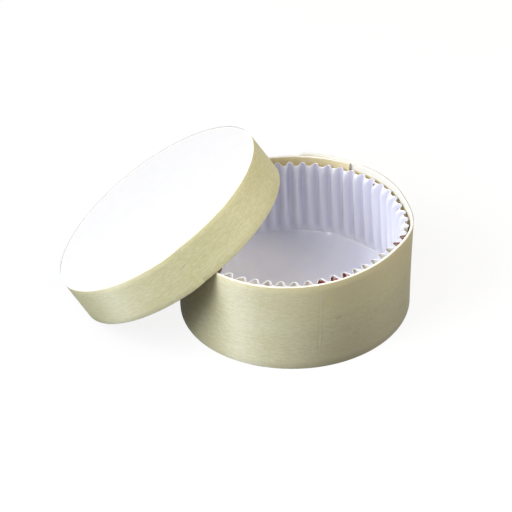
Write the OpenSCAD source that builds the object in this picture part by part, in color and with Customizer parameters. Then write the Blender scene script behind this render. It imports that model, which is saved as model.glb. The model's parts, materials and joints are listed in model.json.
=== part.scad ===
// Round cheese box of wound veneer with a fluted paper cup. The lid is off and leans on the base's rim.
// The origin is the middle of the base's underside, +Z is up, and the lid leans towards -X.

/* [Base] */
// Width inside the base
base_inner_d = 106; // [90:1:130]
// Height of the base's wall
base_h = 47; // [40:1:55]
// Thickness of the round board that closes the base
floor_t = 1.6; // [1:0.1:3]
// Length over which the base's strip lies on its own start
base_lap_l = 26; // [10:1:40]
// Direction in which the outer end of the base's strip lies, seen from the base's axis
base_seam_a = 94.5; // [0:0.5:359]

/* [Veneer] */
// Thickness of the strips that both bands are wound from
veneer_t = 1.4; // [0.8:0.1:1.8]

/* [Lid] */
// Depth of the lid's band
lid_h = 21.2; // [16:0.2:28]
// Thickness of the round board that closes the lid
board_t = 1.2; // [0.8:0.1:2]
// Length over which the lid's strip lies on its own start
lid_lap_l = 26; // [10:1:40]
// Direction in which the outer end of the lid's strip lies, seen from the lid's axis
lid_seam_a = 295; // [0:0.5:359]
// Play between the lid and the base when the box is closed with the strips' ends together
lid_play = 0.15; // [0.1:0.05:0.6]
// Thickness of the white paper disc on the lid
label_t = 0.2; // [0.1:0.05:0.4]
// Bare board left round the paper disc
label_margin = 0.2; // [0.1:0.1:8]

/* [Paper cup] */
// Number of flutes round the cup
flutes = 52; // [40:1:60]
// Depth of a flute at the cup's edge
flute_depth = 4; // [2:0.1:6]
// Depth of a flute where the cup's wall leaves its floor
foot_depth = 1.2; // [0.5:0.1:2]
// Height of the cup at its middle
cup_h = 43; // [30:0.5:45]
// How much higher the cup's edge stands at the front than at the back
cup_rise = 2; // [0:0.5:4]
// Radius of the bend between the cup's floor and its wall
cup_corner_r = 1.5; // [1:0.1:4]
// How much wider the cup is at its edge than at its foot, on each side
cup_flare = 0.6; // [0:0.1:2]
// Thickness of the cup's paper
paper_t = 0.3; // [0.2:0.05:0.5]
// Gap between the cup's folds and the base's wall
cup_side_gap = 0.4; // [0.3:0.1:2]
// Gap between the cup's floor and the base's board
cup_floor_gap = 0.3; // [0.2:0.05:1]
// Direction of one outward fold
fold_a = 92.3; // [90:0.1:99]

/* [Resting lid] */
// Angle at which the lid leans
lean = 33.5; // [31:0.1:36]
// Gap between the lid's edge and the base's rim where the lid leans on it
rim_gap = 0.3; // [0.1:0.05:1]

/* [Hidden] */
$fn = 180;

// A strip is wound from two half turns about centres that lie half a thickness apart, so that it climbs
// by its own thickness in a turn and its outer end lies on its start.
band_shift = veneer_t / 4;

base_r = base_inner_d / 2;
base_lap_a = lap_angle(base_lap_l, base_r + veneer_t);
base_start_a = base_seam_a - base_lap_a;
base_rim_r = base_r + veneer_t;

// The lid's winding fits round the base's when its start follows the base's outer end
lid_r = base_rim_r + veneer_t * base_lap_a / 360 + lid_play;
lid_lap_a = lap_angle(lid_lap_l, lid_r + veneer_t);
lid_start_a = lid_seam_a - lid_lap_a;
board_z = lid_h - label_t - board_t;

// The leaning lid's lowest edge is on the table, and its open edge crosses the base's rim at two places,
// one in front and one behind. The lid lies far enough to one side for both to touch alike.
low_a = 180;
edge_z = reach(lid_r, veneer_t, lid_start_a, lid_lap_a, low_a) * sin(lean);
slope_run = (base_h + rim_gap - edge_z) / tan(lean);
cross_a = acos(-crossing(base_rim_r, lid_r) / base_rim_r);
lid_cross_a = acos(slope_run / cos(lean) / lid_r);
rim_front = reach(base_r, veneer_t, base_start_a, base_lap_a, -cross_a);
rim_back = reach(base_r, veneer_t, base_start_a, base_lap_a, cross_a);
hollow_front = reach(lid_r, 0, lid_start_a, 0, -lid_cross_a);
hollow_back = reach(lid_r, 0, lid_start_a, 0, lid_cross_a);
lid_x = -slope_run - crossing((rim_front + rim_back) / 2, (hollow_front + hollow_back) / 2);
lid_y = (rim_back - hollow_back - rim_front + hollow_front) / 2 / sin(lid_cross_a);

cup_z = floor_t + cup_floor_gap;
fold_r = base_r - band_shift - cup_side_gap;
points_per_flute = 6;
// Power of the sine that a flute's section follows: 1 makes its outward fold a sharp edge, 2 rounds it
flute_power = 1.5;
cup_points = flutes * points_per_flute;

// Angle that a lap of the given length takes at radius r
function lap_angle(length, r) = length / r * 180 / PI;

// How far the face of a band, t outside its inner face, reaches from the axis in direction a
function reach(r, t, start_a, lap_a, a) =
    let (turn = ((a - start_a) % 360 + 360) % 360)
    turn < lap_a ? r + t + veneer_t - band_shift * cos(turn)
    : turn < 180 ? r + t - band_shift * cos(turn)
    : r + t + veneer_t / 2 + band_shift * cos(turn);

// Distance from the base's axis to where circles of the base's rim and the lid's hollow cross
function crossing(rim_r, hollow_r) = sqrt(pow(slope_run / cos(lean), 2) - hollow_r * hollow_r + rim_r * rim_r);

// Solid of height h inside a winding of radius r, its step in direction start_a
module turn_solid(r, h, start_a) {
    rotate([0, 0, start_a]) {
        translate([-band_shift, 0, 0]) rotate_extrude(angle = 180) square([r, h]);
        translate([band_shift, 0, 0]) rotate([0, 0, 180])
            rotate_extrude(angle = 180) square([r + veneer_t / 2, h]);
    }
}

// A strip of height h wound on radius r, its inner end in direction start_a and its outer end lap_a further
module wound_band(r, h, start_a, lap_a) {
    difference() {
        union() {
            turn_solid(r + veneer_t, h, start_a);
            rotate([0, 0, start_a]) translate([-band_shift, 0, 0])
                rotate_extrude(angle = lap_a) square([r + veneer_t * 2, h]);
        }
        translate([0, 0, -h]) turn_solid(r, h * 3, start_a);
    }
}

// Puts a piece of the lid, drawn with the lid's open edge on the plane z = 0, where the lid leans
module leaning() {
    translate([lid_x, lid_y, edge_z]) rotate([0, -lean, 0]) children();
}

// One ring of the cup's skin: round flutes inwards, narrower folds outwards. The share of the cup's
// height at which the ring lies sets its depth of flute, its flare and its part of the rise.
function cup_ring(z, inset, share, depth) = [
    for (k = [0 : cup_points - 1])
    let (
        a = fold_a + k * 360 / cup_points,
        wave = pow(abs(sin(flutes * (a - fold_a) / 2)), flute_power),
        r = fold_r - cup_flare * (1 - share) - inset - depth * wave
    )
    [r * cos(a), r * sin(a), z - share * cup_rise / 2 * sin(a)]
];

// Rings of one face of the paper, from the floor's rim to the cup's edge; inset is the paper's
// thickness for the inner face
function cup_face(inset) = [
    cup_ring(cup_z + inset, cup_corner_r + inset, 0, 0),
    cup_ring(cup_z + cup_corner_r * 0.3 + inset, cup_corner_r * 0.3 + inset, 0, foot_depth * 0.3),
    cup_ring(cup_z + cup_corner_r + inset, inset, 0, foot_depth),
    for (share = [0.3, 0.65, 1])
        cup_ring(cup_z + cup_corner_r + (cup_h - cup_corner_r) * share, inset, share,
            foot_depth + (flute_depth - foot_depth) * share)
];

function reversed(list) = [for (k = [len(list) - 1 : -1 : 0]) list[k]];

module base_band() {
    color([0.80, 0.78, 0.64]) wound_band(base_r, base_h, base_start_a, base_lap_a);
}

module base_floor() {
    color([0.76, 0.73, 0.58]) turn_solid(base_r, floor_t, base_start_a);
}

module paper_cup() {
    rings = concat(cup_face(0), reversed(cup_face(paper_t)));
    last = len(rings) - 1;
    points = concat(
        [[0, 0, cup_z]],
        [for (ring = rings) each ring],
        [[0, 0, cup_z + paper_t]]
    );
    faces = concat(
        [for (k = [0 : cup_points - 1]) [0, 1 + k, 1 + (k + 1) % cup_points]],
        [for (j = [0 : last - 1], k = [0 : cup_points - 1])
            let (near = 1 + j * cup_points, far = near + cup_points, next = (k + 1) % cup_points)
            each [[near + k, far + k, far + next], [near + k, far + next, near + next]]],
        [for (k = [0 : cup_points - 1])
            [len(points) - 1, 1 + last * cup_points + (k + 1) % cup_points, 1 + last * cup_points + k]]
    );
    color([0.90, 0.90, 0.94]) polyhedron(points = points, faces = faces);
}

module lid_band() {
    color([0.80, 0.79, 0.65]) leaning() wound_band(lid_r, lid_h, lid_start_a, lid_lap_a);
}

module lid_board() {
    color([0.76, 0.73, 0.58]) leaning() translate([0, 0, board_z]) turn_solid(lid_r, board_t, lid_start_a);
}

module lid_label() {
    color([0.97, 0.97, 0.97]) leaning() translate([0, 0, board_z + board_t])
        turn_solid(lid_r - label_margin, label_t, lid_start_a);
}

base_band();
base_floor();
paper_cup();
lid_band();
lid_board();
lid_label();
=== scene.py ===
"""Looks of a round box of wound veneer for a soft cheese.

The box has an open base, a fluted paper cup that stands in it and a shallow lid that leans on its rim.
Lengths are in metres and angles in degrees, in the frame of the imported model.
"""

from __future__ import annotations

import json
import logging
import math
from dataclasses import dataclass, field
from enum import Enum

import bmesh
import bpy
from mathutils import Matrix, Vector


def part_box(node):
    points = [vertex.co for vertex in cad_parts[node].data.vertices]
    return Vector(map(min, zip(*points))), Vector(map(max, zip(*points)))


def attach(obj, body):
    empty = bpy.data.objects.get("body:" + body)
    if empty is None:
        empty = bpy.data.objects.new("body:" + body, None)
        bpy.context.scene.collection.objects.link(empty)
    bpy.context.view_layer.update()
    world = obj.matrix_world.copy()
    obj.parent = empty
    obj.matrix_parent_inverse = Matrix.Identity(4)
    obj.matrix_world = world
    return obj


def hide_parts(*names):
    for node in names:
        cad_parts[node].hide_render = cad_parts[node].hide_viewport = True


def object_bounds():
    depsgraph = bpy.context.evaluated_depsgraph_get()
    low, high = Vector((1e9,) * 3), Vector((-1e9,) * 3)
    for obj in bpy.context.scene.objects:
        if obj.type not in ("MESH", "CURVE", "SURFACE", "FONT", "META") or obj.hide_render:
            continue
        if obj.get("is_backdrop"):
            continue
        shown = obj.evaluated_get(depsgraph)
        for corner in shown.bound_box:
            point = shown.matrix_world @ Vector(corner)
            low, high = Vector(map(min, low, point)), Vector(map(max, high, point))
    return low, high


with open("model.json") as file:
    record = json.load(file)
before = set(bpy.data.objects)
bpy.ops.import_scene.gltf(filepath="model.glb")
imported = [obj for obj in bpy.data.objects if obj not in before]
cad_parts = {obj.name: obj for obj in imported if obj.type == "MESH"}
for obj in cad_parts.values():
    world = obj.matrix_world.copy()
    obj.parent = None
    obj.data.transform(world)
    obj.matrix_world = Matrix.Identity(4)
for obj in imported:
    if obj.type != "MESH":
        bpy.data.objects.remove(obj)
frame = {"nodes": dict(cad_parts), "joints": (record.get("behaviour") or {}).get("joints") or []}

LOG = logging.getLogger("cheese_box")
MM = 0.001
PHOTO_PIXELS = 512
Colour = tuple[float, float, float]
Point = tuple[float, float]


def linear(colour: Colour) -> tuple[float, float, float, float]:
    """Turns a colour as a screen shows it into the linear one that a socket holds.

    Args:
        colour: Red, green and blue from 0 to 1.

    Returns:
        Linear red, green and blue, and full alpha.
    """
    def channel(value: float) -> float:
        """Returns one linear channel."""
        return value / 12.92 if value <= 0.04045 else ((value + 0.055) / 1.055) ** 2.4

    return channel(colour[0]), channel(colour[1]), channel(colour[2]), 1.0


class Value:
    """A number socket that takes arithmetic, one Math node for each operator."""

    def __init__(self, shader: Shader, socket: bpy.types.NodeSocket) -> None:
        """Wraps an output socket of the shader's tree."""
        self.shader = shader
        self.socket = socket

    def __add__(self, other: Value | float) -> Value:
        """Returns self + other."""
        return self.shader.math("ADD", self, other)

    def __radd__(self, other: float) -> Value:
        """Returns other + self."""
        return self.shader.math("ADD", other, self)

    def __sub__(self, other: Value | float) -> Value:
        """Returns self - other."""
        return self.shader.math("SUBTRACT", self, other)

    def __rsub__(self, other: float) -> Value:
        """Returns other - self."""
        return self.shader.math("SUBTRACT", other, self)

    def __mul__(self, other: Value | float) -> Value:
        """Returns self * other."""
        return self.shader.math("MULTIPLY", self, other)

    def __rmul__(self, other: float) -> Value:
        """Returns other * self."""
        return self.shader.math("MULTIPLY", other, self)

    def __truediv__(self, other: Value | float) -> Value:
        """Returns self / other."""
        return self.shader.math("DIVIDE", self, other)

    def __pow__(self, other: float) -> Value:
        """Returns self to the power of other."""
        return self.shader.math("POWER", self, other)

    def __abs__(self) -> Value:
        """Returns the value without its sign."""
        return self.shader.math("ABSOLUTE", self)


Input = Value | bpy.types.NodeSocket | float | tuple[float, ...]


class Shader:
    """A node material, or a world's nodes, while it is being built."""

    def __init__(self, name: str, world: bpy.types.World | None = None) -> None:
        """Starts an empty node material of that name, or empties the world's nodes."""
        self.material = world or bpy.data.materials.new(name)
        self.material.use_nodes = True
        self.tree = self.material.node_tree
        self.tree.nodes.clear()

    def node(self, kind: str, settings: dict | None = None, inputs: dict | None = None) -> bpy.types.Node:
        """Adds a node.

        Args:
            kind: The node's type name.
            settings: The node's own settings, set first. The name stops sets a ramp's colour stops.
            inputs: A value or a link for each socket, by the socket's name or place.

        Returns:
            The new node.
        """
        made = self.tree.nodes.new(kind)
        for name, value in (settings or {}).items():
            if name == "stops":
                self._set_stops(made.color_ramp, value)
            else:
                setattr(made, name, value)
        for key, value in (inputs or {}).items():
            if isinstance(value, Value):
                value = value.socket
            if isinstance(value, bpy.types.NodeSocket):
                self.tree.links.new(value, made.inputs[key])
            else:
                made.inputs[key].default_value = value
        return made

    @staticmethod
    def _set_stops(ramp: bpy.types.ColorRamp, stops: list[tuple[float, Colour]]) -> None:
        """Gives a ramp its stops.

        Args:
            ramp: The ramp, with its two first stops.
            stops: The place and the colour of each stop.
        """
        while len(ramp.elements) < len(stops):
            ramp.elements.new(1.0)
        for element, (place, colour) in zip(ramp.elements, stops):
            element.position = place
            element.color = linear(colour)

    def math(self, operation: str, *operands: Value | float) -> Value:
        """Returns the result of one Math node with that operation on the operands."""
        made = self.node("ShaderNodeMath", {"operation": operation}, dict(enumerate(operands)))
        return Value(self, made.outputs[0])

    def smooth(self, value: Value, low: float, high: float) -> Value:
        """Returns 0 below low, 1 above high and a smooth rise between them."""
        made = self.node(
            "ShaderNodeMapRange",
            {"interpolation_type": "SMOOTHSTEP"},
            {"Value": value, "From Min": low, "From Max": high},
        )
        return Value(self, made.outputs["Result"])

    def within(self, value: Value, low: float, high: float, ramp: float) -> Value:
        """Returns 1 between low and high and 0 outside, with soft ramps inside both ends."""
        return self.smooth(value, low, low + ramp) * (1.0 - self.smooth(value, high - ramp, high))

    def attribute(self, name: str) -> tuple[Value, Value, Value]:
        """Returns the three numbers of a vector attribute of the mesh."""
        made = self.node("ShaderNodeAttribute", {"attribute_name": name})
        return self.split(made.outputs["Vector"])

    def place(self, turn: tuple[float, float, float] = (0.0, 0.0, 0.0)) -> tuple[Value, Value, Value]:
        """Returns the Object coordinates.

        Args:
            turn: The turn of the pattern about X, Y and Z, in radians.

        Returns:
            The three coordinates, in metres.
        """
        made = self.node("ShaderNodeTexCoord")
        turned = self.node("ShaderNodeMapping", None, {"Vector": made.outputs["Object"], "Rotation": turn})
        return self.split(turned.outputs["Vector"])

    def split(self, vector: bpy.types.NodeSocket) -> tuple[Value, Value, Value]:
        """Returns the three numbers of a vector socket."""
        made = self.node("ShaderNodeSeparateXYZ", None, {"Vector": vector})
        return Value(self, made.outputs[0]), Value(self, made.outputs[1]), Value(self, made.outputs[2])

    def noise(self, x: Value | float, y: Value | float, z: Value | float = 0.0, detail: float = 2.0) -> Value:
        """Returns soft noise from about 0 to 1 with features about one unit long.

        Args:
            x: First coordinate, already divided by the length of a feature that way.
            y: Second coordinate.
            z: Third coordinate.
            detail: Number of finer octaves.

        Returns:
            The noise, around 0.5.
        """
        spot = self.node("ShaderNodeCombineXYZ", None, {0: x, 1: y, 2: z})
        made = self.node(
            "ShaderNodeTexNoise", None, {"Vector": spot.outputs[0], "Scale": 1.0, "Detail": detail}
        )
        return Value(self, made.outputs[0])

    def blend(self, factor: Value | float, first: Input, second: Input) -> bpy.types.NodeSocket:
        """Returns the colour that goes from first to second as factor goes from 0 to 1."""
        made = self.node("ShaderNodeMix", {"data_type": "RGBA"}, {0: factor, 6: first, 7: second})
        return made.outputs[2]

    def shown(self) -> Value:
        """Returns 1 where the surface or world is seen, also in gloss or through glass, and 0 where it lights."""
        path = self.node("ShaderNodeLightPath").outputs
        seen = self.math("MAXIMUM", Value(self, path["Is Camera Ray"]), Value(self, path["Is Glossy Ray"]))
        return self.math("MAXIMUM", seen, Value(self, path["Is Transmission Ray"]))

    def surface(self, inputs: dict, height: Value | None = None, depth: float = 0.0) -> bpy.types.Material:
        """Ends the material in one Principled shader.

        Args:
            inputs: The shader's sockets.
            height: Relief from 0 to 1, or none.
            depth: How far the relief goes, in metres.

        Returns:
            The finished material.
        """
        if height is not None:
            relief = self.node("ShaderNodeBump", None, {"Height": height, "Distance": depth, "Strength": 1.0})
            inputs = inputs | {"Normal": relief.outputs[0]}
        shader = self.node("ShaderNodeBsdfPrincipled", None, inputs)
        self.node("ShaderNodeOutputMaterial", None, {"Surface": shader.outputs[0]})
        return self.material


class Mark(Enum):
    """What a mark on the veneer does to its colour."""

    PALE = 1
    DARK = 2


@dataclass(frozen=True)
class Blemish:
    """A long or round mark at one place of a strip, as an ellipse."""

    kind: Mark
    run: float
    height: float
    half_run: float
    half_height: float
    tilt: float = 0.0
    strength: float = 1.0

    def mask(self, shader: Shader, run: Value, height: Value) -> Value:
        """Draws the mark.

        Args:
            shader: The material under construction.
            run: Distance along the strip, in metres.
            height: Distance across the strip, in metres.

        Returns:
            1 in the mark's middle and 0 outside it.
        """
        cosine = math.cos(math.radians(self.tilt))
        sine = math.sin(math.radians(self.tilt))
        along = (run - self.run) * cosine + (height - self.height) * sine
        across = (height - self.height) * cosine - (run - self.run) * sine
        away = (along / self.half_run) ** 2.0 + (across / self.half_height) ** 2.0
        return (1.0 - shader.smooth(away, 0.3, 1.0)) * self.strength


@dataclass(frozen=True)
class Veneer:
    """Raw peeled veneer with its grain along the strip, with painted shade along its rim and on its inner face, a
    painted highlight high on part of its inner face, and painted shade at the foot and painted light at the top over
    part of its outer face.
    """

    name: str
    pale: Colour = (0.928, 0.915, 0.765)
    straw: Colour = (0.857, 0.83, 0.64)
    fleck: Colour = (0.965, 0.955, 0.86)
    dark: Colour = (0.55, 0.46, 0.3)
    # Painted shade: the golden tone of the wood in shade, along the rim and on the inner face.
    gold: Colour = (0.92, 0.83, 0.6)
    # Painted highlight: near white, high on part of the inner face.
    painted_highlight: Colour = (0.99, 0.985, 0.965)
    rim_shade: float = 0.35
    inner_shade: float = 0.6
    inner_highlight_run: tuple[float, float] = (0.0, 0.0)
    # Painted shade at the foot and painted light at the top, over one stretch of the outer face.
    dull: Colour = (0.75, 0.715, 0.58)
    painted_warm_light: Colour = (0.985, 0.94, 0.74)
    lit_and_shaded_run: tuple[float, float] = (0.0, 0.0)
    height: float = 47 * MM
    anisotropy: float = 1.0
    ior: float = 1.6
    streak_length: float = 5 * MM
    streak_width: float = 0.42 * MM
    roughness: float = 0.6
    blemishes: tuple[Blemish, ...] = ()

    def material(self) -> bpy.types.Material:
        """Builds the veneer's flat faces from the strip attribute: run, depth and height."""
        shader = Shader(self.name)
        run, depth, height = shader.attribute("strip")
        drift = (shader.noise(run / (40 * MM), height / (14 * MM)) - 0.5) * 1.2 * MM
        level = height + drift
        streaks = shader.noise(run / self.streak_length, level / self.streak_width, depth / (2 * MM), 3.0)
        bands = shader.noise(run / (80 * MM), level / (4.5 * MM), depth / (2 * MM))
        clouds = shader.noise(run / (22 * MM), height / (14 * MM), depth / (2 * MM))
        fine = shader.noise(run / (3 * MM), level / (0.3 * MM), depth / (2 * MM))
        checks = shader.noise(run / (0.55 * MM), height / (7 * MM))
        mottle = shader.noise(run / (2.2 * MM), level / (0.42 * MM), depth / (2 * MM), 1.0)
        flecks = shader.smooth(fine, 0.58, 0.72)
        tone = 0.5 + (streaks - 0.5) * 1.2 + (bands - 0.5) * 0.4 + (clouds - 0.5) * 0.5
        tone = tone + (checks - 0.5) * 0.6 + (mottle - 0.5) * 1.7
        colour = shader.blend(shader.smooth(tone, 0.0, 1.0), linear(self.straw), linear(self.pale))
        colour = shader.blend(flecks * 0.5, colour, linear(self.fleck))
        # Painted shade: a golden tint over the top 3.5 mm of the strip, and on the inner face away from the painted
        # highlight.
        near_rim = shader.smooth(height, self.height - 3.5 * MM, self.height - 0.15 * MM)
        inner = 1.0 - shader.smooth(depth, 0.1 * MM, 0.5 * MM)
        # Painted highlight: near the top, over one stretch of the run, the inner face turns near white.
        pale = shader.within(run, *self.inner_highlight_run, 20 * MM)
        pale = pale * shader.smooth(height, self.height - 4.0 * MM, self.height - 3.1 * MM)
        gold = shader.math("MAXIMUM", near_rim * self.rim_shade, inner * (1.0 - pale) * self.inner_shade)
        colour = shader.blend(gold, colour, linear(self.gold))
        colour = shader.blend(inner * pale * 0.9, colour, linear(self.painted_highlight))
        # Painted shade and painted light: over one stretch of the outer face, the lower part darkens and the upper
        # part warms.
        lit_and_shaded = shader.within(run, *self.lit_and_shaded_run, 45 * MM) * (1.0 - inner)
        foot = 1.0 - shader.smooth(height, 0.0, self.height * 0.75)
        top = shader.smooth(height, self.height * 0.4, self.height * 0.92)
        colour = shader.blend(lit_and_shaded * foot * 0.6, colour, linear(self.dull))
        colour = shader.blend(lit_and_shaded * top * 0.75, colour, linear(self.painted_warm_light))
        relief = streaks * 0.6 + fine * 0.5 + checks * 0.3
        for blemish in self.blemishes:
            mask = blemish.mask(shader, run, height)
            tint = self.fleck if blemish.kind is Mark.PALE else self.dark
            colour = shader.blend(mask, colour, linear(tint))
            relief = relief + mask * (1.5 if blemish.kind is Mark.PALE else -1.0)
        return shader.surface(
            {
                "Base Color": colour,
                "Roughness": self.roughness,
                "IOR": self.ior,
                "Specular IOR Level": 1.0,
                "Anisotropic": self.anisotropy,
                "Anisotropic Rotation": 0.25,
            },
            relief,
            0.05 * MM,
        )


@dataclass(frozen=True)
class CutEdge:
    """The sawn edge and ends of a strip, paler than its faces, with a fibre line here and there, and painted shade on
    the outer part of the edge over one stretch of its run.
    """

    name: str
    cream: Colour = (0.99, 0.99, 0.975)
    fibre: Colour = (0.955, 0.945, 0.895)
    # Painted shade for the outer part of the edge over one stretch of the run.
    edge_shade: Colour = (0.66, 0.63, 0.58)
    edge_shade_run: tuple[float, float] = (0.0, 0.0)
    edge_shade_from: float = 0.6
    veneer: float = 1.4 * MM

    def material(self) -> bpy.types.Material:
        """Builds the edge's material from the strip attribute."""
        shader = Shader(self.name)
        run, depth, height = shader.attribute("strip")
        lines = shader.noise(run / (9 * MM), depth / (0.22 * MM), height / (0.5 * MM), 3.0)
        nicks = shader.noise(run / (1.1 * MM), depth / (0.8 * MM), height / (1.5 * MM))
        tone = shader.smooth(lines * 0.75 + nicks * 0.25, 0.36, 0.6)
        colour = shader.blend(tone, linear(self.fibre), linear(self.cream))
        # Painted shade: over one stretch of the run, the outer part of the edge turns grey.
        outer = shader.smooth(depth, self.veneer * (self.edge_shade_from - 0.05), self.veneer * (self.edge_shade_from + 0.05))
        edge_shade_mask = shader.within(run, *self.edge_shade_run, 15 * MM) * outer
        colour = shader.blend(edge_shade_mask * 0.9, colour, linear(self.edge_shade))
        return shader.surface(
            {"Base Color": colour, "Roughness": 0.75, "Specular IOR Level": 0.2}, lines + nicks, 0.06 * MM
        )


@dataclass(frozen=True)
class Board:
    """A thin round board with straight grain, in the plane that the turn gives."""

    name: str
    pale: Colour = (0.88, 0.85, 0.71)
    straw: Colour = (0.79, 0.74, 0.57)
    turn: tuple[float, float, float] = (0.0, 0.0, 0.0)

    def material(self) -> bpy.types.Material:
        """Builds the board's material from Object coordinates."""
        shader = Shader(self.name)
        x, y, z = shader.place(self.turn)
        wander = (shader.noise(x / (45 * MM), y / (16 * MM)) - 0.5) * 7 * MM
        rings = shader.noise(x / (90 * MM), (y + wander) / (2.1 * MM), z / (3 * MM), 3.0)
        fibres = shader.noise(x / (9 * MM), y / (0.35 * MM), z / (3 * MM), 2.0)
        tone = 0.5 + (rings - 0.5) * 1.9 + (fibres - 0.5) * 1.2
        colour = shader.blend(shader.smooth(tone, 0.0, 1.0), linear(self.straw), linear(self.pale))
        return shader.surface(
            {"Base Color": colour, "Roughness": 0.68, "Specular IOR Level": 0.25},
            rings * 0.4 + fibres,
            0.06 * MM,
        )


@dataclass(frozen=True)
class Speck:
    """A dot of ink that came through near the cup's edge."""

    azimuth: float
    below: float
    half_width: float = 0.7 * MM


@dataclass(frozen=True)
class CupPaper:
    """Glazed paper, a cold white, with the faint cockle that pleating leaves; its inner face has painted shade in the
    flutes' grooves and a painted glint along the floor's fold.
    """

    name: str
    white: Colour = (0.955, 0.96, 1.0)
    shade: Colour = (0.938, 0.944, 0.997)
    # The groove colour is painted shade for the flutes' grooves.
    groove_shade: Colour = (0.86, 0.855, 0.93)
    # The crease colour is a painted glint along the floor's fold.
    crease: Colour = (0.99, 0.995, 1.0)
    speck: Colour = (0.32, 0.24, 0.34)
    radius: float = 50 * MM
    top: float = 45 * MM
    rise: float = 2 * MM
    specks: tuple[Speck, ...] = (Speck(47.8, 0.9 * MM), Speck(20.8, 1.0 * MM, 1.0 * MM), Speck(-24.7, 1.2 * MM))
    glint_start: Point = (17.0 * MM, 47.6 * MM)
    glint_end: Point = (39.0 * MM, 35.0 * MM)

    def colour(self, shader: Shader, x: Value, y: Value, z: Value) -> bpy.types.NodeSocket:
        """Returns the paper's clouded white at those Object coordinates."""
        clouds = shader.noise(x / (11 * MM), y / (11 * MM), z / (16 * MM), 3.0)
        return shader.blend(shader.smooth(clouds, 0.3, 0.7), linear(self.shade), linear(self.white))

    def finish(self, shader: Shader, colour: Input, x: Value, y: Value, z: Value) -> bpy.types.Material:
        """Ends a cup paper's material.

        Args:
            shader: The material under construction.
            colour: The paper's colour.
            x: First Object coordinate.
            y: Second Object coordinate.
            z: Third Object coordinate.

        Returns:
            The finished material.
        """
        cockle = shader.noise(x / (5 * MM), y / (5 * MM), z / (14 * MM), 2.0)
        fibres = shader.noise(x / (0.5 * MM), y / (0.5 * MM), z / (0.5 * MM), 1.0)
        wall = 0.04 + shader.smooth(z, 3 * MM, 8 * MM)
        return shader.surface(
            {
                "Base Color": colour,
                "Roughness": 0.4,
                "Specular IOR Level": 0.4,
                "Coat Weight": 1.0,
                "Coat Roughness": 0.04,
                "Coat IOR": 2.0,
            },
            (cockle + fibres * 0.06) * wall,
            0.16 * MM,
        )

    def from_edge(self, shader: Shader, x: Value, y: Value, z: Value) -> tuple[Value, Value]:
        """Returns the direction round the cup, in radians, and the distance below the cup's edge."""
        angle = shader.math("ARCTAN2", y, x)
        return angle, self.top - (self.rise / 2) * y / self.radius - z

    @staticmethod
    def from_line(x: Value, y: Value, start: Point, end: Point) -> tuple[Value, Value]:
        """Returns the distance along the line from start to end, and the distance from that line."""
        length = math.dist(start, end)
        east, north = (end[0] - start[0]) / length, (end[1] - start[1]) / length
        over, up = x - start[0], y - start[1]
        return over * east + up * north, up * east - over * north

    def material(self) -> bpy.types.Material:
        """Builds the inner face, white with a few specks near its edge, painted shade in the grooves of its flutes
        and a painted glint along the floor's fold.
        """
        shader = Shader(self.name)
        x, y, z = shader.place()
        angle, below = self.from_edge(shader, x, y, z)
        colour = self.colour(shader, x, y, z)
        wave, share, _ = shader.attribute("flute")
        # Painted shade: the outward folds of the flutes darken, from just above the floor up.
        groove_shade = (1.0 - shader.smooth(wave, 0.1, 0.85)) * shader.smooth(share, 0.0, 0.12)
        colour = shader.blend(groove_shade * 0.8, colour, linear(self.groove_shade))
        # Painted highlight: a bright glint line along the fold between floor and wall, low down.
        ends = (self.glint_start, self.glint_end)
        along, across = self.from_line(x, y, *ends)
        length = math.dist(*ends)
        crease = shader.within(along, 0.0, length, 4 * MM) * (1.0 - shader.smooth(across * across, 0.02e-6, 0.12e-6))
        colour = shader.blend(crease * (1.0 - shader.smooth(z, 5 * MM, 6 * MM)), colour, linear(self.crease))
        for speck in self.specks:
            across = (angle - math.radians(speck.azimuth)) * self.radius / speck.half_width
            down = (below - speck.below) / speck.half_width
            mask = 1.0 - shader.smooth(across * across + down * down, 0.5, 1.0)
            colour = shader.blend(mask, colour, linear(self.speck))
        return self.finish(shader, colour, x, y, z)


@dataclass(frozen=True)
class PrintGroup:
    """A run of coloured marks in the print round the cup."""

    azimuth: float
    half_width: float
    strength: float = 1.0

    def mask(self, shader: Shader, angle: Value) -> Value:
        """Returns 1 inside the group and 0 outside it."""
        half = math.radians(self.half_width)
        beside = abs(shader.math("WRAP", angle - math.radians(self.azimuth), math.pi, -math.pi))
        return (1.0 - shader.smooth(beside, half * 0.9, half)) * self.strength


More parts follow.
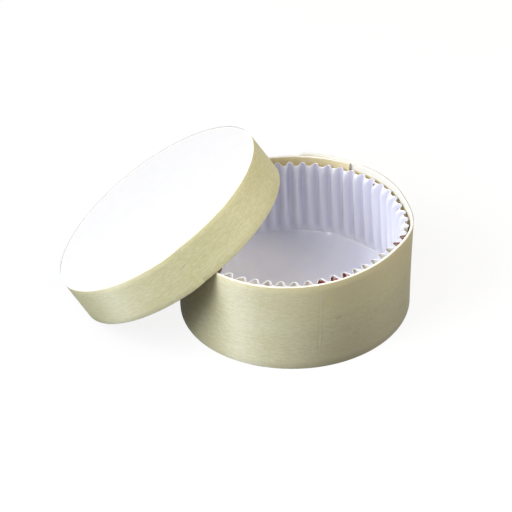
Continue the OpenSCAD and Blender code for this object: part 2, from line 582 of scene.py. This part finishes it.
@dataclass(frozen=True)
class PrintedPaper(CupPaper):
    """The cup's outer face, tinted under a white margin, with plain marks in groups round its edge."""

    ink: Colour = (0.66, 0.27, 0.27)
    tint: Colour = (0.96, 0.935, 0.9)
    cool: Colour = (0.97, 0.97, 0.98)
    margin: float = 0.75 * MM
    printed: float = 9 * MM
    groups: tuple[PrintGroup, ...] = (
        PrintGroup(-59.0, 10.0),
        PrintGroup(-96.0, 1.6, 0.35),
        PrintGroup(-119.0, 1.5, 0.3),
        PrintGroup(-9.0, 6.0),
        PrintGroup(110.0, 9.0),
        PrintGroup(170.0, 9.0),
    )

    def material(self) -> bpy.types.Material:
        """Builds the printed outer face."""
        shader = Shader(self.name)
        x, y, z = shader.place()
        angle, below = self.from_edge(shader, x, y, z)
        around = angle * self.radius
        band = shader.smooth(below, self.margin * 0.8, self.margin * 1.2)
        band = band * (1.0 - shader.smooth(below, self.printed * 0.8, self.printed))
        patches = shader.noise(around / (5 * MM), below / (4 * MM), 0.0, 1.0)
        tinted = shader.blend(shader.smooth(patches, 0.42, 0.58), linear(self.tint), linear(self.cool))
        colour = shader.blend(band * 0.8, self.colour(shader, x, y, z), tinted)
        blots = shader.noise(around / (1.3 * MM), below / (1.1 * MM), 4.0, 1.0)
        marks = Value(shader, shader.node("ShaderNodeValue").outputs[0]) * 0.0
        for group in self.groups:
            marks = shader.math("MAXIMUM", marks, group.mask(shader, angle))
        colour = shader.blend(band * marks * shader.smooth(blots, 0.4, 0.5), colour, linear(self.ink))
        return self.finish(shader, colour, x, y, z)


@dataclass(frozen=True)
class PlainPaper:
    """Plain white paper: the lid's disc and the raw edge of the cup."""

    name: str
    white: Colour = (0.934, 0.931, 0.926)
    grey: Colour = (0.928, 0.925, 0.92)
    roughness: float = 0.55

    def material(self) -> bpy.types.Material:
        """Builds the paper from Object coordinates."""
        shader = Shader(self.name)
        x, y, z = shader.place()
        clouds = shader.noise(x / (6 * MM), y / (6 * MM), z / (6 * MM), 4.0)
        fibres = shader.noise(x / (0.45 * MM), y / (0.45 * MM), z / (0.45 * MM), 2.0)
        colour = shader.blend(shader.smooth(clouds, 0.3, 0.7), linear(self.grey), linear(self.white))
        return shader.surface(
            {"Base Color": colour, "Roughness": self.roughness, "Specular IOR Level": 0.3},
            clouds * 0.3 + fibres * 0.2,
            0.04 * MM,
        )


def finish_mesh(bm: bmesh.types.BMesh, name: str, crease: float) -> bpy.types.Object:
    """Turns a bmesh into a smooth object of the scene.

    Args:
        bm: The shape, which is freed.
        name: The piece's name.
        crease: The least angle, in degrees, at which an edge stays sharp.

    Returns:
        The new object, at the origin.
    """
    mesh = bpy.data.meshes.new(name)
    for face in bm.faces:
        face.smooth = True
    bm.to_mesh(mesh)
    bm.free()
    mesh.set_sharp_from_angle(angle=math.radians(crease))
    made = bpy.data.objects.new(name, mesh)
    bpy.context.scene.collection.objects.link(made)
    return made


def swell(azimuth: float, centre: float, half_width: float) -> float:
    """Returns 1 at the centre's direction, falling smoothly to 0 at half_width degrees from it."""
    away = abs((azimuth - centre + 180) % 360 - 180) / half_width
    return 0.0 if away >= 1 else math.cos(math.pi / 2 * away) ** 2


@dataclass(frozen=True)
class Bulge:
    """A place where the base's wall, bent by hand, leans out of round towards its rim."""

    azimuth: float
    half_width: float
    at_rim: float

    def offset(self, azimuth: float, level: float) -> float:
        """Returns how far the wall leans out in that direction, level going from 0 at its foot to 1."""
        return self.at_rim * swell(azimuth, self.azimuth, self.half_width) * level ** 1.3


BULGES = (
    Bulge(2.0, 26.0, 2.0 * MM),
    Bulge(38.0, 48.0, 1.1 * MM),
    Bulge(-42.0, 34.0, -0.6 * MM),
    Bulge(-113.0, 48.0, 0.8 * MM),
)


@dataclass
class WoundBand:
    """A strip of veneer wound once round with its outer end lapped over its start."""

    node: str
    body: str
    slot: str
    inner_radius: float
    veneer: float
    height: float
    seam: float
    lap_length: float
    place: Matrix = field(default_factory=lambda: Matrix.Identity(4))
    layer_gap: float = 0.1 * MM
    arris: float = 0.16 * MM
    end_parting: float = 0.0
    parting_length: float = 30 * MM
    worn_corner: float = 0.0
    worn_length: float = 3.2 * MM
    bulges: tuple[Bulge, ...] = ()
    scarf: float = 0.0
    scarf_length: float = 7 * MM
    wobble: float = 0.12 * MM
    rows: int = 10
    step: float = 2.0

    @property
    def lap(self) -> float:
        """Angle of the lap."""
        return math.degrees(self.lap_length / (self.inner_radius + self.veneer))

    @property
    def start(self) -> float:
        """Direction of the strip's inner end."""
        return self.seam - self.lap

    @property
    def shift(self) -> float:
        """Distance of each half turn's centre from the axis."""
        return self.veneer / 4

    @property
    def length(self) -> float:
        """Length of the whole strip along its inner face."""
        return self.run_at(360 + self.lap)

    def run_at(self, turn: float) -> float:
        """Returns the distance along the strip at that turn from its inner end."""
        first = min(turn, 180.0)
        second = min(max(turn - 180.0, 0.0), 180.0)
        third = max(turn - 360.0, 0.0)
        radii = (self.inner_radius, self.inner_radius + self.veneer / 2, self.inner_radius + self.veneer)
        return sum(math.radians(part) * radius for part, radius in zip((first, second, third), radii))

    def run_towards(self, direction: float, outer_layer: bool = False) -> float:
        """Returns the distance along the strip in that direction, on the lap's outer layer if asked."""
        return self.run_at((direction - self.start) % 360 + (360 if outer_layer else 0))

    def build(self, face: bpy.types.Material, edge: bpy.types.Material) -> bpy.types.Object:
        """Winds the strip and puts it in place of its node.

        Args:
            face: Material of the strip's flat faces.
            edge: Material of its cut edges and ends.

        Returns:
            The finished piece.
        """
        bm = bmesh.new()
        strip = bm.verts.layers.float_vector.new("strip")
        self._wind(bm, strip)
        self._shape(bm, strip)
        bmesh.ops.recalc_face_normals(bm, faces=bm.faces)
        bmesh.ops.rotate(bm, verts=bm.verts, matrix=Matrix.Rotation(math.radians(self.start), 3, "Z"))
        bm.normal_update()
        for each in bm.faces:
            is_end = len(each.verts) > 4
            each.material_index = 1 if abs(each.normal.z) > 0.6 or is_end and not self.scarf else 0
        bmesh.ops.transform(bm, matrix=self.place, verts=bm.verts)
        piece = finish_mesh(bm, f"{self.node}_strip", 50)
        piece.data.materials.append(face)
        piece.data.materials.append(edge)
        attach(piece, self.body)
        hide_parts(self.node)
        return piece

    def _section(self, bm: bmesh.types.BMesh) -> list[bmesh.types.BMEdge]:
        """Draws the outline of the strip's cross section at its inner end, with its corners rounded."""
        inner = self.inner_radius - self.shift
        outer = inner + self.veneer - self.layer_gap
        corners = [(inner, 0.0), (outer, 0.0), (outer, self.height), (inner, self.height)]
        face = bm.faces.new([bm.verts.new((x, 0.0, z)) for x, z in corners])
        bmesh.ops.bevel(
            bm, geom=list(face.verts), affect="VERTICES", offset=self.arris, segments=2, profile=0.5, material=-1
        )
        bmesh.ops.delete(bm, geom=list(bm.faces), context="FACES_ONLY")
        upright = [e for e in bm.edges if abs(e.verts[0].co.z - e.verts[1].co.z) > self.height / 2]
        bmesh.ops.subdivide_edges(bm, edges=upright, cuts=self.rows)
        return list(bm.edges)

    def _wind(self, bm: bmesh.types.BMesh, strip: bmesh.types.BMLayerItem) -> None:
        """Spins the section round the two centres, and notes run, depth and height at each vertex."""
        first = self._section(bm)
        geometry = list(bm.verts) + first
        known = set()
        stages = [(-self.shift, 0.0, 180.0), (self.shift, 180.0, 180.0), (-self.shift, 360.0, self.lap)]
        for centre, before, angle in stages:
            spun = bmesh.ops.spin(
                bm, geom=geometry, cent=(centre, 0, 0), axis=(0, 0, 1),
                angle=math.radians(angle), steps=round(angle / self.step),
            )
            geometry = spun["geom_last"]
            for vert in bm.verts:
                if vert not in known:
                    self._note(vert, strip, centre, before)
                    known.add(vert)
        last = [e for e in geometry if isinstance(e, bmesh.types.BMEdge)]
        bmesh.ops.contextual_create(bm, geom=first)
        bmesh.ops.contextual_create(bm, geom=last)

    def _note(
        self, vert: bmesh.types.BMVert, strip: bmesh.types.BMLayerItem, centre: float, before: float
    ) -> None:
        """Writes a vertex's place on the unwound strip.

        Args:
            vert: The vertex.
            strip: The layer that takes run, depth and height.
            centre: Where its half turn's centre lies on the X axis.
            before: The turn at which its half turn starts.
        """
        x = vert.co.x - centre
        y = vert.co.y
        turn = (math.degrees(math.atan2(y, x)) - before + 1.0) % 360 - 1.0 + before
        inner = self.inner_radius + self.veneer * before / 360
        vert[strip] = (self.run_at(max(turn, 0.0)), math.hypot(x, y) - inner, vert.co.z)

    def _shape(self, bm: bmesh.types.BMesh, strip: bmesh.types.BMLayerItem) -> None:
        """Lets the strip wobble a little, parts its outer end from the lap and thins its tip."""
        for vert in bm.verts:
            run, depth, height = vert[strip]
            outward = Vector((vert.co.x, vert.co.y, 0)).normalized()
            around = math.atan2(vert.co.y, vert.co.x)
            level = height / self.height
            offset = self.wobble * (math.sin(2 * around + 0.7) * level + 0.5 * math.sin(5 * around + 2.1 * level))
            offset -= self.wobble * 1.5 * level
            offset += sum(bulge.offset(math.degrees(around) + self.start, level) for bulge in self.bulges)
            left = self.length - run
            if left < self.parting_length:
                offset += self.end_parting * (1 - (left / self.parting_length) ** 2) * (0.35 + 0.65 * level)
            if left < self.worn_length:
                vert.co.z -= self.worn_corner * (1 - left / self.worn_length) ** 2 * level ** 6
            if self.scarf and left < self.scarf_length:
                offset -= (self.scarf * depth + self.layer_gap) * (1 - left / self.scarf_length)
            vert.co += outward * offset


@dataclass
class FlutedCup:
    """A cup pressed from one round sheet of paper: a flat floor and a wall of flutes."""

    node: str = "paper_cup"
    body: str = "cup"
    slot: str = "cup_paper"
    fold_radius: float = 52.25 * MM
    floor_z: float = 1.9 * MM
    height: float = 43 * MM
    rise: float = 2 * MM
    corner: float = 0.8 * MM
    dish: float = 2.3 * MM
    dish_start: float = 25 * MM
    flare: float = 0.6 * MM
    paper: float = 0.3 * MM
    flutes: int = 52
    depth: float = 4 * MM
    foot_depth: float = 0.4 * MM
    crest: float = 0.9
    steepness: float = 0.6
    pinch: float = 1.3
    round_height: float = 5 * MM
    bulges: tuple[Bulge, ...] = BULGES
    first_fold: float = 92.3
    front_shift: float = 4.0
    per_flute: int = 20
    wall_rows: int = 18
    edge_splay: float = 0.2 * MM
    splay_height: float = 2 * MM
    curl: float = 2.5 * MM
    curl_height: float = 3.4 * MM

    def build(
        self, outside: bpy.types.Material, inside: bpy.types.Material, edge: bpy.types.Material
    ) -> bpy.types.Object:
        """Spins the cup's profile, presses the flutes and gives the paper its thickness.

        Args:
            outside: Material of the printed outer face.
            inside: Material of the inner face.
            edge: Material of the paper's raw edge.

        Returns:
            The finished piece.
        """
        bm = bmesh.new()
        profile = [bm.verts.new((r, 0, z)) for r, z in self._profile()]
        chain = [bm.edges.new(pair) for pair in zip(profile, profile[1:])]
        bmesh.ops.spin(
            bm, geom=profile + chain, cent=(0, 0, 0), axis=(0, 0, 1), angle=math.tau,
            steps=self.flutes * self.per_flute, use_merge=True,
        )
        bmesh.ops.remove_doubles(bm, verts=bm.verts, dist=0.01 * MM)
        flute = bm.verts.layers.float_vector.new("flute")
        for vert in bm.verts:
            vert[flute] = self._press(vert)
        bmesh.ops.recalc_face_normals(bm, faces=bm.faces)
        bm.normal_update()
        if min(bm.faces, key=lambda f: f.calc_center_median().z).normal.z > 0:
            bmesh.ops.reverse_faces(bm, faces=bm.faces)
        piece = finish_mesh(bm, "cup_sheet", 38)
        for material in (outside, inside, edge):
            piece.data.materials.append(material)
        sheet = piece.modifiers.new("paper", "SOLIDIFY")
        sheet.thickness = self.paper
        sheet.offset = -1.0
        sheet.material_offset = 1
        sheet.material_offset_rim = 2
        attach(piece, self.body)
        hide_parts(self.node)
        return piece

    def _profile(self) -> list[tuple[float, float]]:
        """Returns the radius and height of the sheet's outer face, from the middle to the edge."""
        foot = self.fold_radius - self.flare
        flat = foot - self.corner
        floor = [(flat * share, self._floor_at(flat * share)) for share in (0.0, 0.25, 0.5, 0.65, 0.8, 0.92)]
        bend = [math.radians(angle) for angle in (0, 22.5, 45, 67.5, 90)]
        corner = [
            (flat + self.corner * math.sin(a), self._foot_z - self.corner * math.cos(a)) for a in bend
        ]
        wall = []
        shares = [row / self.wall_rows for row in range(1, self.wall_rows)] + [0.964, 0.978, 0.99, 1.0]
        for share in shares:
            splay = self.edge_splay * max(0.0, 1 - (1 - share) * self._wall_height / self.splay_height) ** 2
            wall.append(
                (foot + self.flare * share + splay, self._foot_z + self._wall_height * share)
            )
        return floor + corner + wall

    @property
    def _foot_z(self) -> float:
        """Height at which the bend ends and the wall begins."""
        return self.floor_z + self.dish + self.corner

    @property
    def _wall_height(self) -> float:
        """Height of the wall over the bend at its foot."""
        return self.height - self.dish - self.corner

    def _floor_at(self, radius: float) -> float:
        """Returns the floor's height, which rises a little towards its rim."""
        flat = self.fold_radius - self.flare - self.corner
        out = max(0.0, (radius - self.dish_start) / (flat - self.dish_start))
        return self.floor_z + self.dish * out * out

    def _press(self, vert: bmesh.types.BMVert) -> tuple[float, float, float]:
        """Moves one vertex of the plain cup in to where its flute is.

        Args:
            vert: The vertex, which moves.

        Returns:
            The share of a flute's depth and the share of the wall's height at which it lies, and 0.
        """
        radius = math.hypot(vert.co.x, vert.co.y)
        angle = math.atan2(vert.co.y, vert.co.x)
        share = (vert.co.z - self._foot_z) / self._wall_height
        if share < 0:
            depth = self.foot_depth * max(0.0, 1 + share * self._wall_height / self.corner) ** 2
            share = 0.0
        else:
            depth = self.foot_depth + (self.depth - self.foot_depth) * share ** 0.6
        flute = angle * self.flutes / 2
        uneven = 0.97 + 0.05 * math.sin(9 * angle + 0.5) + 0.04 * math.sin(23 * angle)
        wave = math.sin(flute) ** 2
        steep = min(wave / self.crest, 1.0)
        steep *= steep * (3 - 2 * steep)
        below = (1 - share) * self._wall_height
        azimuth = math.degrees(angle) + self.first_fold
        broad = max(0.0, 1 - below / self.round_height)
        pinched = wave ** self.pinch
        radius -= depth * uneven * (pinched + (wave + (steep - wave) * self.steepness - pinched) * broad)
        near_edge = max(0.0, 1 - below / self.curl_height)
        radius += self.curl * near_edge ** 1.5 * wave * (0.12 + 0.88 * swell(azimuth, 30.0, 90.0))
        lean = math.radians(0.3) * math.sin(7 * angle + 1.0) * share
        shift = math.radians(self.front_shift) * swell(azimuth, -80.0, 120.0)
        turned = angle + math.radians(self.first_fold) + shift + lean
        rough = 0.12 * MM * math.sin(11 * angle) * share
        radius += sum(bulge.offset(math.degrees(turned), vert.co.z / self.height) for bulge in self.bulges)
        height = vert.co.z - share * (self.rise / 2) * math.sin(turned) + rough
        vert.co = Vector((radius * math.cos(turned), radius * math.sin(turned), height))
        return wave, share, 0.0


@dataclass(frozen=True)
class Lamp:
    """A square soft lamp that points at the box."""

    name: str
    azimuth: float
    elevation: float
    distance: float
    size: float
    level: float
    colour: Colour = (1.0, 1.0, 1.0)

    def build(self, target: Vector) -> bpy.types.Object:
        """Hangs the lamp.

        Args:
            target: The point that the lamp lights.

        Returns:
            The lamp. At level 1 a white surface that faces it renders just white.
        """
        data = bpy.data.lights.new(self.name, "AREA")
        data.shape = "SQUARE"
        data.size = self.size
        data.energy = self.level * math.pi ** 2 * self.distance ** 2
        data.color = self.colour
        lamp = bpy.data.objects.new(self.name, data)
        azimuth = math.radians(self.azimuth)
        elevation = math.radians(self.elevation)
        towards = Vector(
            (math.cos(elevation) * math.cos(azimuth), math.cos(elevation) * math.sin(azimuth), math.sin(elevation))
        )
        lamp.location = target + towards * self.distance
        lamp.rotation_euler = towards.to_track_quat("Z", "Y").to_euler()
        bpy.context.scene.collection.objects.link(lamp)
        return lamp


@dataclass
class Studio:
    """The pale floor, the lamps, the world and the camera of the photograph's view."""

    camera_at: Vector = field(default_factory=lambda: Vector((0.180925, -1.141594, 0.849736)))
    yaw: float = -9.872
    pitch: float = 35.477
    roll: float = -1.914
    focal_pixels: float = 3000.0
    sensor: float = 36.0
    floor_side: float = 6.0
    floor_albedo: float = 0.06
    world_level: float = 0.06
    lamps: tuple[Lamp, ...] = (
        Lamp("front", -133.0, 35.0, 1.6, 0.62, 0.5, (0.95, 1.0, 1.06)),
        Lamp("left", -150.0, 45.0, 1.6, 0.62, 0.42, (0.95, 0.96, 1.05)),
        Lamp("high", -130.0, 65.0, 1.6, 0.62, 0.21),
        Lamp("near", -90.0, 45.0, 1.6, 1.01, 0.15, (1.0, 0.96, 0.92)),
        Lamp("back", 20.0, 50.0, 1.6, 1.01, 0.5, (1.0, 0.92, 0.74)),
    )

    def build(self, target: Vector) -> None:
        """Builds the stage.

        Args:
            target: The point that the lamps light.
        """
        self._camera()
        self._world()
        self._floor()
        for lamp in self.lamps:
            lamp.build(target)
        bpy.context.scene.view_settings.view_transform = "Standard"

    def _camera(self) -> None:
        """Makes the camera and gives it to the scene."""
        data = bpy.data.cameras.new("camera")
        data.sensor_width = self.sensor
        data.lens = self.focal_pixels * self.sensor / PHOTO_PIXELS
        data.clip_start = 0.05
        data.clip_end = 20.0
        camera = bpy.data.objects.new("camera", data)
        bpy.context.scene.collection.objects.link(camera)
        turn = (
            Matrix.Rotation(math.radians(-self.yaw), 4, "Z")
            @ Matrix.Rotation(math.radians(90 - self.pitch), 4, "X")
            @ Matrix.Rotation(math.radians(self.roll), 4, "Z")
        )
        camera.matrix_world = Matrix.Translation(self.camera_at) @ turn
        bpy.context.scene.camera = camera

    def _world(self) -> None:
        """Makes a world that lights softly and shows white."""
        world = bpy.data.worlds.new("white_room")
        shader = Shader(world.name, world)
        strength = shader.shown() * (1.0 - self.world_level) + self.world_level
        background = shader.node("ShaderNodeBackground", None, {"Color": (1.0, 1.0, 1.0, 1.0), "Strength": strength})
        shader.node("ShaderNodeOutputWorld", None, {"Surface": background.outputs[0]})
        bpy.context.scene.world = world

    def _floor(self) -> None:
        """Lays a pale floor that the camera sees as white with the box's soft shadow on it."""
        bm = bmesh.new()
        bmesh.ops.create_grid(bm, x_segments=8, y_segments=8, size=self.floor_side / 2)
        floor = finish_mesh(bm, "floor", 180)
        shader = Shader("pale_floor")
        lit = shader.node("ShaderNodeBsdfDiffuse", None, {"Color": (0.6, 0.6, 0.6, 1.0)})
        white = shader.node("ShaderNodeEmission", None, {"Color": (1.0, 1.0, 1.0, 1.0), "Strength": 1.1})
        shown = shader.node("ShaderNodeMixShader", None, {0: 0.8, 1: lit.outputs[0], 2: white.outputs[0]})
        dull = shader.node("ShaderNodeBsdfDiffuse", None, {"Color": (*[self.floor_albedo] * 3, 1.0)})
        mixed = shader.node(
            "ShaderNodeMixShader",
            None,
            {0: shader.shown(), 1: dull.outputs[0], 2: shown.outputs[0]},
        )
        shader.node("ShaderNodeOutputMaterial", None, {"Surface": mixed.outputs[0]})
        floor.data.materials.append(shader.material)
        floor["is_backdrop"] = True


@dataclass
class CheeseBox:
    """The whole box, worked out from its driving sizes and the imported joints."""

    base_radius: float = 53 * MM
    veneer: float = 1.4 * MM
    lap_length: float = 26 * MM
    base_seam: float = 94.5
    lid_seam: float = 295.0
    lid_play: float = 0.15 * MM
    lid_height: float = 21.2 * MM
    rim_drop: float = 0.3 * MM

    def base_band(self) -> WoundBand:
        """Returns the base's band, whose outer end stands a little away from the lap."""
        low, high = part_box("base_band")
        return WoundBand(
            "base_band", "base", "base_veneer", self.base_radius, self.veneer, high.z - low.z - self.rim_drop,
            self.base_seam, self.lap_length, end_parting=1.5 * MM, worn_corner=1.0 * MM, arris=0.22 * MM,
            bulges=BULGES,
        )

    def lid_band(self) -> WoundBand:
        """Returns the lid's band where it leans, with its outer end shaved thin."""
        lap = self.lap_length / (self.base_radius + self.veneer)
        radius = self.base_radius + self.veneer + self.veneer * lap / math.tau + self.lid_play
        band = WoundBand(
            "lid_band", "lid", "lid_veneer", radius, self.veneer, self.lid_height,
            self.lid_seam, self.lap_length, scarf=0.88, rows=6,
        )
        band.place = self.lid_place(band)
        return band

    def lid_place(self, band: WoundBand) -> Matrix:
        """Works out where the lid leans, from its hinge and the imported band.

        Args:
            band: The lid's band.

        Returns:
            The move from the lid's own frame, with its open edge on z = 0, to the row frame.
        """
        joint = next(j for j in frame["joints"] if j["name"] == "lid_tip")
        lean = math.radians(90 - joint["range_deg"][1])
        turn = math.radians(180 - band.start)
        reach = band.inner_radius + 1.5 * band.veneer + band.shift * math.cos(turn)
        low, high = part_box("lid_band")
        side = self._side_reach(band)
        return Matrix.Translation(
            (joint["pos_m"][0] + reach * math.cos(lean), high.y - side, reach * math.sin(lean))
        ) @ Matrix.Rotation(-lean, 4, "Y")

    @staticmethod
    def _side_reach(band: WoundBand) -> float:
        """Returns how far the band's outer face reaches towards +Y from the lid's axis."""
        turn = math.radians((90 - band.start) % 360)
        if turn < math.pi:
            return band.inner_radius + band.veneer - band.shift * math.cos(turn)
        return band.inner_radius + 1.5 * band.veneer + band.shift * math.cos(turn)

    def dress(self) -> None:
        """Builds and dresses every piece, and reports each one."""
        base = self.base_band()
        lid = self.lid_band()
        base_face = Veneer(
            "base_veneer", height=base.height, blemishes=self.base_blemishes(base),
            inner_highlight_run=(base.run_towards(-55.0), base.run_towards(120.0, outer_layer=True)),
            lit_and_shaded_run=(base.run_towards(-105.0), base.run_towards(40.0)),
        )
        base_edge = CutEdge("base_cut", edge_shade_run=(base.run_towards(-5.0), base.run_towards(65.0)))
        # Painted light: the lid's veneer is a little paler than the base's, for the sheen on the lid's band.
        lid_face = Veneer(
            "lid_veneer", pale=(0.945, 0.935, 0.76), straw=(0.88, 0.855, 0.64), height=lid.height,
            rim_shade=0.12, blemishes=self.lid_blemishes(lid),
        )
        lid_edge = CutEdge(
            "lid_cut", (0.985, 0.983, 0.96), (0.96, 0.95, 0.9), (0.78, 0.77, 0.78),
            edge_shade_run=(lid.run_towards(30.0), lid.run_towards(205.0)), edge_shade_from=0.35,
        )
        pieces = [
            base.build(base_face.material(), base_edge.material()),
            lid.build(lid_face.material(), lid_edge.material()),
        ]
        cup = FlutedCup()
        pieces.append(
            cup.build(
                PrintedPaper("cup_print", top=cup.floor_z + cup.height, rise=cup.rise).material(),
                CupPaper("cup_paper").material(),
                PlainPaper("cup_edge").material(),
            )
        )
        lean = lid.place.to_euler().y
        self.dress_node("base_floor", Board("base_board").material(), "base_board")
        self.dress_node("lid_board", Board("lid_wood", turn=(0.0, -lean, 0.6)).material(), "lid_wood")
        self.dress_node("lid_label", PlainPaper("label_paper").material(), "label_paper")
        for piece in pieces:
            LOG.info("%s: %d faces", piece.name, len(piece.data.polygons))

    @staticmethod
    def dress_node(name: str, material: bpy.types.Material, slot: str) -> None:
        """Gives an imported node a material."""
        node = frame["nodes"][name]
        node.data.materials.clear()
        node.data.materials.append(material)
        LOG.info("%s: packed node in %s", name, material.name)

    @staticmethod
    def base_blemishes(band: WoundBand) -> tuple[Blemish, ...]:
        """Returns the faint upright line and the small knot on the base's front."""
        seam = band.run_towards(-68.3)
        knot = band.run_towards(-59.5)
        return (
            Blemish(Mark.PALE, seam, 40 * MM, 0.35 * MM, 6 * MM, -3.0, 0.5),
            Blemish(Mark.PALE, seam - 0.8 * MM, 15 * MM, 0.3 * MM, 4 * MM, -3.0, 0.5),
            Blemish(Mark.DARK, seam + 0.5 * MM, 24 * MM, 0.3 * MM, 21 * MM, -3.0, 0.12),
            Blemish(Mark.DARK, seam - 1.3 * MM, 24 * MM, 0.3 * MM, 21 * MM, -3.0, 0.1),
            Blemish(Mark.DARK, knot, 26.4 * MM, 1.8 * MM, 0.6 * MM, 22.0, 0.32),
        )

    @staticmethod
    def lid_blemishes(band: WoundBand) -> tuple[Blemish, ...]:
        """Returns the raised splinter beside the lid's seam, with its painted shadow below it, and a pale mark near
        the strip's end.
        """
        splinter = band.run_towards(291.5, outer_layer=True)
        end = band.run_towards(294.3, outer_layer=True)
        return (
            Blemish(Mark.PALE, splinter, 13.4 * MM, 3.0 * MM, 0.32 * MM, 8.0, 0.75),
            # Painted shadow below the raised splinter.
            Blemish(Mark.DARK, splinter - 0.3 * MM, 12.8 * MM, 3.0 * MM, 0.3 * MM, 8.0, 0.15),
            Blemish(Mark.PALE, end, 20.5 * MM, 1.1 * MM, 0.7 * MM, 20.0, 0.9),
        )


def main() -> None:
    """Builds the box and its stage in order."""
    logging.basicConfig(level=logging.INFO, format="%(name)s: %(message)s")
    cad_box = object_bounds()
    box = CheeseBox()
    box.dress()
    Studio().build((cad_box[0] + cad_box[1]) / 2)


if __name__ == "__main__":
    main()
